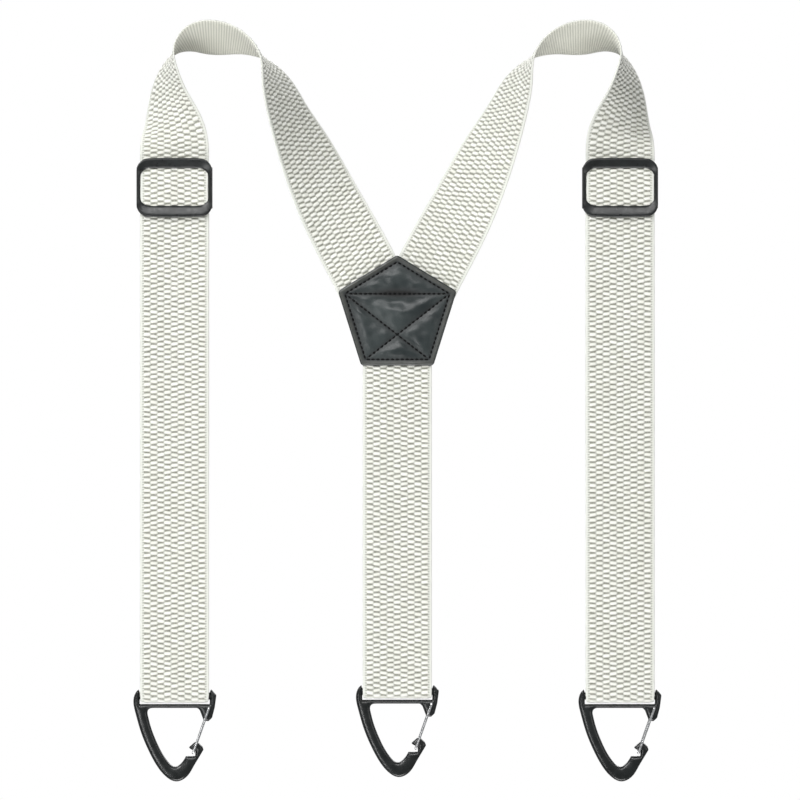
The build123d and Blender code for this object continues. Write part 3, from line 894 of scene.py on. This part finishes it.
# soft hollows and swellings of the front leather: x, z, spread in x, spread in z, height
PUFFS = [
    (0.0, -145.2, 11.0, 2.6, -0.75), (1.0, -151.0, 9.0, 2.9, 0.6), (-11.0, -144.8, 4.5, 2.4, -0.3),
    (1.0, -131.0, 6.0, 3.4, 0.45), (-9.0, -134.5, 4.0, 2.6, -0.3), (11.0, -135.0, 4.5, 2.4, 0.25),
    (-18.0, -153.0, 3.0, 6.5, 0.4), (18.0, -152.0, 3.2, 6.5, 0.35), (-13.5, -158.0, 3.0, 4.5, -0.25),
    (22.0, -147.0, 2.6, 4.0, -0.25), (0.0, -172.0, 8.0, 3.0, 0.4), (6.0, -166.5, 3.4, 2.4, -0.2),
]


def seam_distances(p):
    return [segment_distance(p, a, b) for a, b in BORDER_ROWS + QUILT_ROWS]


def border_distance(p):
    return np.min([segment_distance(p, a, b) for a, b in PATCH_SIDES], axis=0)


def patch_relief(p):
    """Height of the leather over the webbing, in mm, at x, z points."""
    pillow = np.ones(p.shape[:-1])
    for distance in seam_distances(p):
        pillow = pillow * (1 - np.exp(-(distance / 3.2) ** 2))
    x, z = p[..., 0], p[..., 1]
    groove = -0.3 * np.exp(-(np.min(seam_distances(p), axis=0) / 0.7) ** 2)
    roll_off = -0.8 * (1 - smoothstep(0.0, 1.2, border_distance(p)))
    waves = (0.12 * np.sin(x * 0.42 + z * 0.23 + 1.1) * np.sin(z * 0.51 - x * 0.12)
             + 0.07 * np.sin(x * 0.83 - z * 0.37) * np.sin(z * 0.7 + x * 0.31 + 0.7))
    for cx, cz, sx, sz, height in PUFFS:
        waves = waves + height * np.exp(-(((x - cx) / sx) ** 2 + ((z - cz) / sz) ** 2))
    return pillow + groove + roll_off + 1.3 * waves * smoothstep(0.0, 0.55, pillow) + 0.25


def paint_rub_and_shade(mesh, x, z, front):
    """Where the leather is rubbed, on its flange, and painted shade, in its seams, its middle crease and on
    its rolled edge.
    """
    flat = np.stack([x, z], -1)
    border, seam_gap = border_distance(flat), np.min(seam_distances(flat), axis=0)
    flange = (1 - smoothstep(1.8, 3.4, border)) * smoothstep(0.25, 0.8, border)
    flange = flange * smoothstep(0.4, 0.9, seam_gap)
    # painted shadow of a deep crease: a dark lens along the middle seam of the front
    crease = 0.9 * np.exp(-((x / 12) ** 2 + ((z - RIGHT[1] - 0.5) / 2.3) ** 2)) if front else 0
    # painted shade along the seams, narrow and dark with a wider soft falloff
    shaded_seam = 0.4 * (1 - smoothstep(0.1, 0.5, seam_gap)) + 0.35 * np.exp(-(seam_gap / 1.9) ** 2)
    # painted shade on the rolled outer edge
    edge_shade = 0.7 * (1 - smoothstep(0.0, 0.45, border))
    for name, values in (("rub", flange), ("shaded_seam", np.clip(shaded_seam + edge_shade + crease, 0, 1))):
        layer = mesh.attributes.new(name, "FLOAT", "POINT")
        layer.data.foreach_set("value", values.astype(np.float32))


def patch_panel(name, front, cad_node):
    """One leather of the patch: crowned, quilted by its seams, rolled at the edge."""
    outline = patch_outline()
    centre = np.array([0.0, PATCH_MIDDLE_Z])
    shares = 1 - np.linspace(0, 1, 90) ** 1.15 * 0.985
    rings = np.array([centre + (outline - centre) * k for k in shares])
    height = patch_relief(rings)
    direction = -1.0 if front else 1.0
    face_y = direction * (THICK / 2 + LEATHER + (height if front else height * 0.5))
    inner_y = np.full(len(outline), direction * (THICK / 2 + 0.02))
    layers = [np.column_stack([outline[:, 0], inner_y, outline[:, 1]])]
    layers += [np.column_stack([ring[:, 0], y, ring[:, 1]]) for ring, y in zip(rings, face_y)]
    points = np.vstack(layers)
    mesh = mesh_from(name, points * MM, ring_faces(len(layers), len(outline)))
    paint_rub_and_shade(mesh, points[:, 0], points[:, 2], front)
    obj = new_object(name, mesh, MATERIALS["leather"])
    fix_winding(obj)
    declare_patch(obj, cad_node)


def declare_patch(obj, cad_node):
    """Attaches a layer of the patch to the root body and hides its CAD part."""
    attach(obj, "root")
    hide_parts(cad_node)


def patch_wadding():
    """Felted wadding between the leathers, its edge slightly uneven and set back from theirs."""
    outline = patch_outline()
    centre = outline.mean(0)
    turn = np.linspace(0, 2 * math.pi, len(outline), endpoint=False)
    uneven = 0.12 * np.sin(turn * 17) + 0.08 * np.sin(turn * 41 + 1.0)
    reach = np.linalg.norm(outline - centre, axis=1)
    layers = []
    # how far in from the outline, and y
    section = [(9.0, -0.66), (1.6, -0.66), (1.0, -0.56), (0.75, 0.0), (1.0, 0.56), (1.6, 0.66), (9.0, 0.66)]
    for inset, y in section:
        ring = centre + (outline - centre) * (1 - (inset + uneven) / reach)[:, None]
        layers.append(np.column_stack([ring[:, 0], np.full(len(ring), y), ring[:, 1]]))
    mesh = mesh_from("patch_wadding", np.vstack(layers) * MM, ring_faces(len(layers), len(outline)))
    obj = new_object("patch_wadding", mesh, MATERIALS["felt"])
    fix_winding(obj)
    declare_patch(obj, "patch_padding")


def shorten(row, cut):
    """A row of stitches cut back at both ends."""
    (x0, z0), (x1, z1) = row
    run = math.hypot(x1 - x0, z1 - z0)
    dx, dz = (x1 - x0) / run * cut, (z1 - z0) / run * cut
    return (x0 + dx, z0 + dz), (x1 - dx, z1 - dz)


def patch():
    patch_wadding()
    patch_panel("patch_front_leather", True, "patch_front_panel")
    patch_panel("patch_back_leather", False, "patch_back_panel")

    def front_surface(x, z):
        return -(THICK / 2 + LEATHER + float(patch_relief(np.array([x, z]))) + 0.02)

    rows = [shorten(row, 0.5) for row in BORDER_ROWS] + [shorten(row, 2.2) for row in QUILT_ROWS]
    sewing = stitches("patch_stitches", rows, front_surface, MATERIALS["black_thread"],
                      length=2.0, pitch=2.75, radius=0.5)
    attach(sewing, "root")
    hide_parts("patch_stitching")


def tacks():
    """Boxed crosses that hold the sewn tails, on their rear faces."""
    w, h = 15.0, 7.5
    box_rows = [((-w, h), (w, h)), ((w, h), (w, -h)), ((w, -h), (-w, -h)), ((-w, -h), (-w, h)),
                ((-w + 2, h - 1), (w - 2, -h + 1)), ((-w + 2, -h + 1), (w - 2, h - 1))]
    y = SEWN_Y + THICK / 2 + 0.12
    places = {"back": (0.0, BACK_BAR_Z + BACK_TACK_UP, y, "back_end", "back_loop_stitching")}
    for side, sign in SIDES.items():
        y = TAIL_Y + SEWN_Y + THICK / 2 + 0.1
        places[side] = (sign * FRONT_X, GLIDE_Z - FRONT_TACK_DOWN, y, f"{side}_slider",
                        f"{side}_slider_stitching")
    for name, (x, z, y, body, cad_node) in places.items():
        rows = [((x + a, z + b), (x + c, z + d)) for (a, b), (c, d) in box_rows]
        sewing = stitches(f"{name}_tack_stitches", rows, lambda px, pz, y=y: y, MATERIALS["white_thread"])
        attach(sewing, body)
        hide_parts(cad_node)


# ------------------------------------------------------------ studio

def pale_floor():
    """A plain floor far below, bright of itself, which sheds no light on the harness."""
    material, _, bsdf = shader("pale_floor")
    bsdf.inputs["Base Color"].default_value = (0.9, 0.9, 0.9, 1)
    bsdf.inputs["Roughness"].default_value = 0.9
    bsdf.inputs["Emission Color"].default_value = (1, 1, 1, 1)
    bsdf.inputs["Emission Strength"].default_value = 0.93
    bpy.ops.mesh.primitive_plane_add(size=60.0, location=(0, 0, -3.6))
    floor = bpy.context.object
    floor.name = "floor"
    floor.data.materials.append(material)
    floor.visible_diffuse = False
    floor.visible_glossy = False


def area_light(name, location, size, power):
    """A rectangular light aimed at the middle of the harness."""
    light = bpy.data.lights.new(name, "AREA")
    light.shape = "RECTANGLE"
    light.size, light.size_y = size
    light.energy = power
    obj = bpy.data.objects.new(name, light)
    bpy.context.scene.collection.objects.link(obj)
    obj.location = location
    aim = Vector((0.0, 0.0, -0.2)) - obj.location
    obj.rotation_euler = aim.to_track_quat("-Z", "Y").to_euler()


def studio():
    """White surroundings, a key from the upper left, fill from the front and below, and two rear lights."""
    bpy.context.scene.view_settings.view_transform = "Standard"
    pale_floor()
    world = bpy.data.worlds.new("studio")
    bpy.context.scene.world = world
    world.use_nodes = True
    tree = world.node_tree
    seen = tree.nodes["Background"]
    seen.inputs[0].default_value = (1, 1, 1, 1)
    seen.inputs[1].default_value = 1.0
    direction = node(tree, "ShaderNodeTexCoord").outputs["Generated"]
    up = node(tree, "ShaderNodeSeparateXYZ", {0: direction}).outputs[2]
    glow = ramp(tree, up, -0.3, 0.8, 0.28, 0.40)
    lit = node(tree, "ShaderNodeBackground", {0: (0.97, 0.985, 1.0, 1), 1: glow})
    ray = node(tree, "ShaderNodeLightPath").outputs["Is Camera Ray"]
    mixed = node(tree, "ShaderNodeMixShader", {0: ray, 1: lit.outputs[0], 2: seen.outputs[0]})
    tree.links.new(mixed.outputs[0], tree.nodes["World Output"].inputs[0])
    area_light("key", (-1.1, -0.85, 0.95), (0.6, 0.6), 18)
    area_light("front_box", (-0.25, -1.65, 0.9), (1.4, 0.45), 17)
    area_light("low_box", (0.0, -0.5, -1.7), (1.2, 0.5), 18)
    area_light("left_strip", (-0.9, -1.5, -0.7), (0.25, 1.0), 8)
    area_light("fill", (1.4, -1.1, -0.1), (0.5, 1.2), 4)
    area_light("rear_key", (1.0, 1.4, 0.8), (0.9, 0.9), 17)
    area_light("rear_box", (-0.2, 1.7, 0.6), (1.4, 0.4), 13)


def camera():
    """A long lens level with the middle of the harness, as in a catalogue picture."""
    distance, seen_width, sensor = 2.5, 0.44056, 36.0
    data = bpy.data.cameras.new("camera")
    data.sensor_width = sensor
    data.lens = sensor * distance / seen_width
    data.clip_end = 50
    obj = bpy.data.objects.new("camera", data)
    bpy.context.scene.collection.objects.link(obj)
    obj.location = (0.0015, -distance, -0.1994)
    obj.rotation_euler = (math.radians(90), 0, 0)
    bpy.context.scene.camera = obj


camera()
studio()
hooks()
adjusters()
front_straps()
back_strap()
patch()
tacks()
